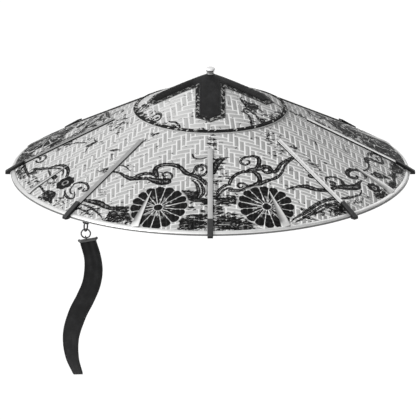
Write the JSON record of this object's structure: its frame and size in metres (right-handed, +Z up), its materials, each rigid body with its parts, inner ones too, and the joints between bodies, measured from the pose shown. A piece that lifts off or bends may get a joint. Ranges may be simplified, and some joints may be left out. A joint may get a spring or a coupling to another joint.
{
  "type": "samurai hat",
  "caption": "Wide low conical hat of woven strips with a crown disc, a black cross, radial metal ribs, a bound rim and a hanging strap.",
  "frame": {"origin": "centre of the circle where the inside of the cone rests on a head, on the hat's axis", "axes": "+Z up along the hat's axis, -Y to the front as worn, +X to the right in the front view"},
  "size_m": [0.4934, 0.4934, 0.329],
  "materials": {
    "weave": "matt lacquered split strips",
    "edging": "matt woven edging",
    "cross_leather": "matt",
    "braid": "woven in black and white",
    "knob": "polished",
    "pale_metal": "satin",
    "cap_black": "semi matt",
    "dark_steel": "polished",
    "strap_leather": "matt"
  },
  "bodies": {
    "root": {"woven_shell": "weave", "crown_disc": "weave", "crown_ring": "edging", "cross_strap": "cross_leather", "cross_trim": "braid", "finial": "knob", "rim_band": "pale_metal", "rib_1": "pale_metal", "rib_cap_1": "cap_black", "rib_2": "pale_metal", "rib_cap_2": "cap_black", "rib_3": "pale_metal", "rib_cap_3": "cap_black", "rib_4": "pale_metal", "rib_cap_4": "cap_black", "rib_5": "pale_metal", "rib_cap_5": "cap_black", "rib_6": "pale_metal", "rib_cap_6": "cap_black", "rib_7": "pale_metal", "rib_cap_7": "cap_black", "rib_8": "pale_metal", "rib_cap_8": "cap_black", "link_staple": "dark_steel", "hanging_link": "dark_steel", "hanging_ring": "dark_steel", "strap_clamp": "dark_steel", "hanging_strap": "strap_leather"}
  },
  "joints": []
}
